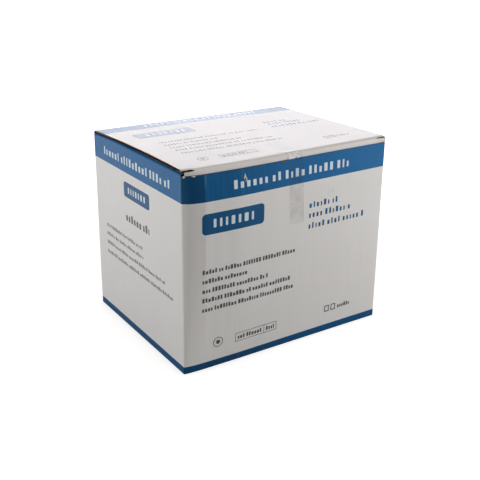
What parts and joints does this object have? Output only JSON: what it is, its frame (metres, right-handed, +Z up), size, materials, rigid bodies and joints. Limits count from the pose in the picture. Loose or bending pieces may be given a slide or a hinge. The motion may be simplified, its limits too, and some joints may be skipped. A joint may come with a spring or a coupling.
{
  "type": "taped corrugated carton",
  "caption": "Closed corrugated carton for ward disposables, with a tuck-in lid held shut by a strip of clear tape over its front fold.",
  "frame": {"origin": "bottom centre of the carton's bounding box, on the surface that it stands on", "axes": "+X right along the front panel, the longest side; -Y out of the front panel, where the lid tucks in; +Z up"},
  "size_m": [0.25, 0.2064, 0.213],
  "materials": {
    "white_lined_board": "white coated liner with flat blue and grey print, kraft at the cut edges",
    "clear_tape": "clear, slightly grey, glossy and a little wrinkled"
  },
  "bodies": {
    "root": {"carton": "white_lined_board", "sealing_tape": "clear_tape"}
  },
  "joints": []
}
